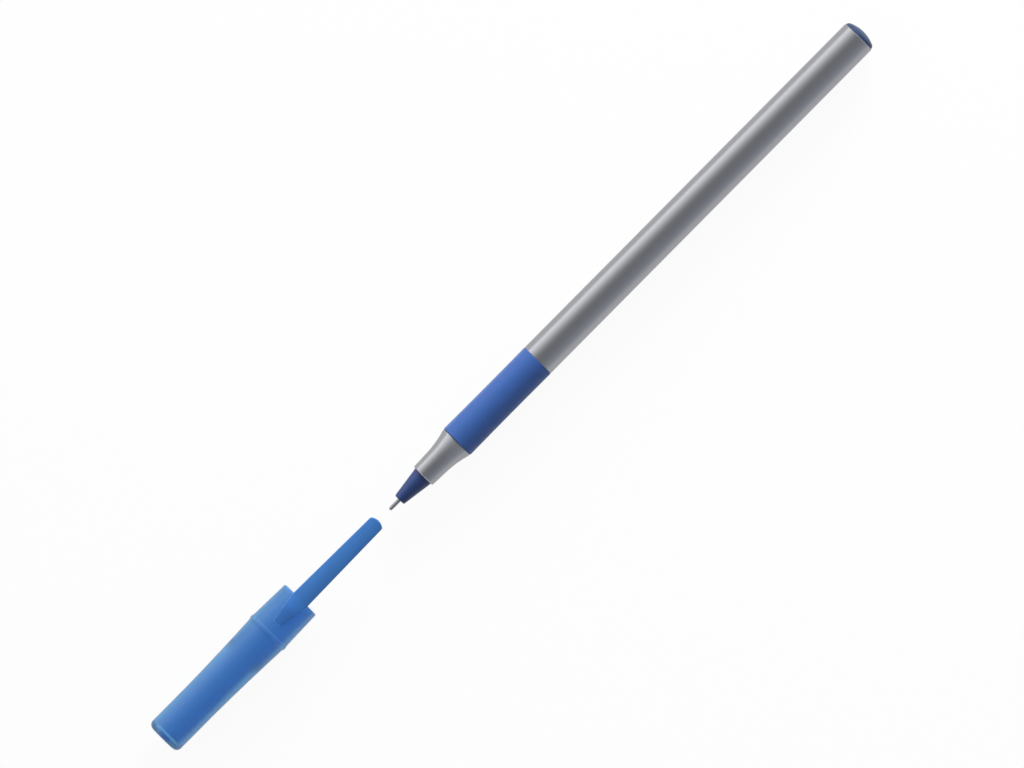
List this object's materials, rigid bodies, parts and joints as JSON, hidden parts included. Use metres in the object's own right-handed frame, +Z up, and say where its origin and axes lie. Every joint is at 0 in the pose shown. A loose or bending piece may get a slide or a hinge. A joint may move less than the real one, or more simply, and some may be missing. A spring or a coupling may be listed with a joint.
{
  "type": "stick ballpoint pen",
  "caption": "Slim round stick ballpoint pen with a soft grip sleeve and needle point, its clip cap lying in line ahead of the point and sliding on to close.",
  "frame": {"origin": "on the surface that the cap's bead lies on, below the middle of the row's length and on its plane of symmetry", "axes": "+X along the pen's axis from the point towards the rear plug, +Z up through the clip, +Y to the side"},
  "size_m": [0.2162, 0.0102, 0.0108],
  "materials": {
    "barrel": "satin silver-grey pearl pigment",
    "grip": "satin blue soft rubber",
    "plug": "glossy blue",
    "holder": "glossy dark blue",
    "needle": "turned nickel silver",
    "ball": "polished carbide",
    "tube": "milky clear",
    "ink": "dark blue ink",
    "cap": "glossy translucent blue"
  },
  "bodies": {
    "pen": {"barrel": "barrel", "grip_sleeve": "grip", "end_plug": "plug", "tip_holder": "holder", "needle_tip": "needle", "ink_tube": "tube", "ink_column": "ink"},
    "cap": {"cap": "cap"},
    "ball": {"writing_ball": "ball"}
  },
  "joints": [
    {"name": "cap_slide", "type": "slide", "parent": "pen", "child": "cap", "axis": [1, 0, 0], "range_m": [0, 0.0643]},
    {"name": "ball_roll", "type": "hinge", "parent": "pen", "child": "ball", "pos_m": [-0.03775, 0, 0.00512], "axis": [0, 1, 0], "continuous": true}
  ]
}
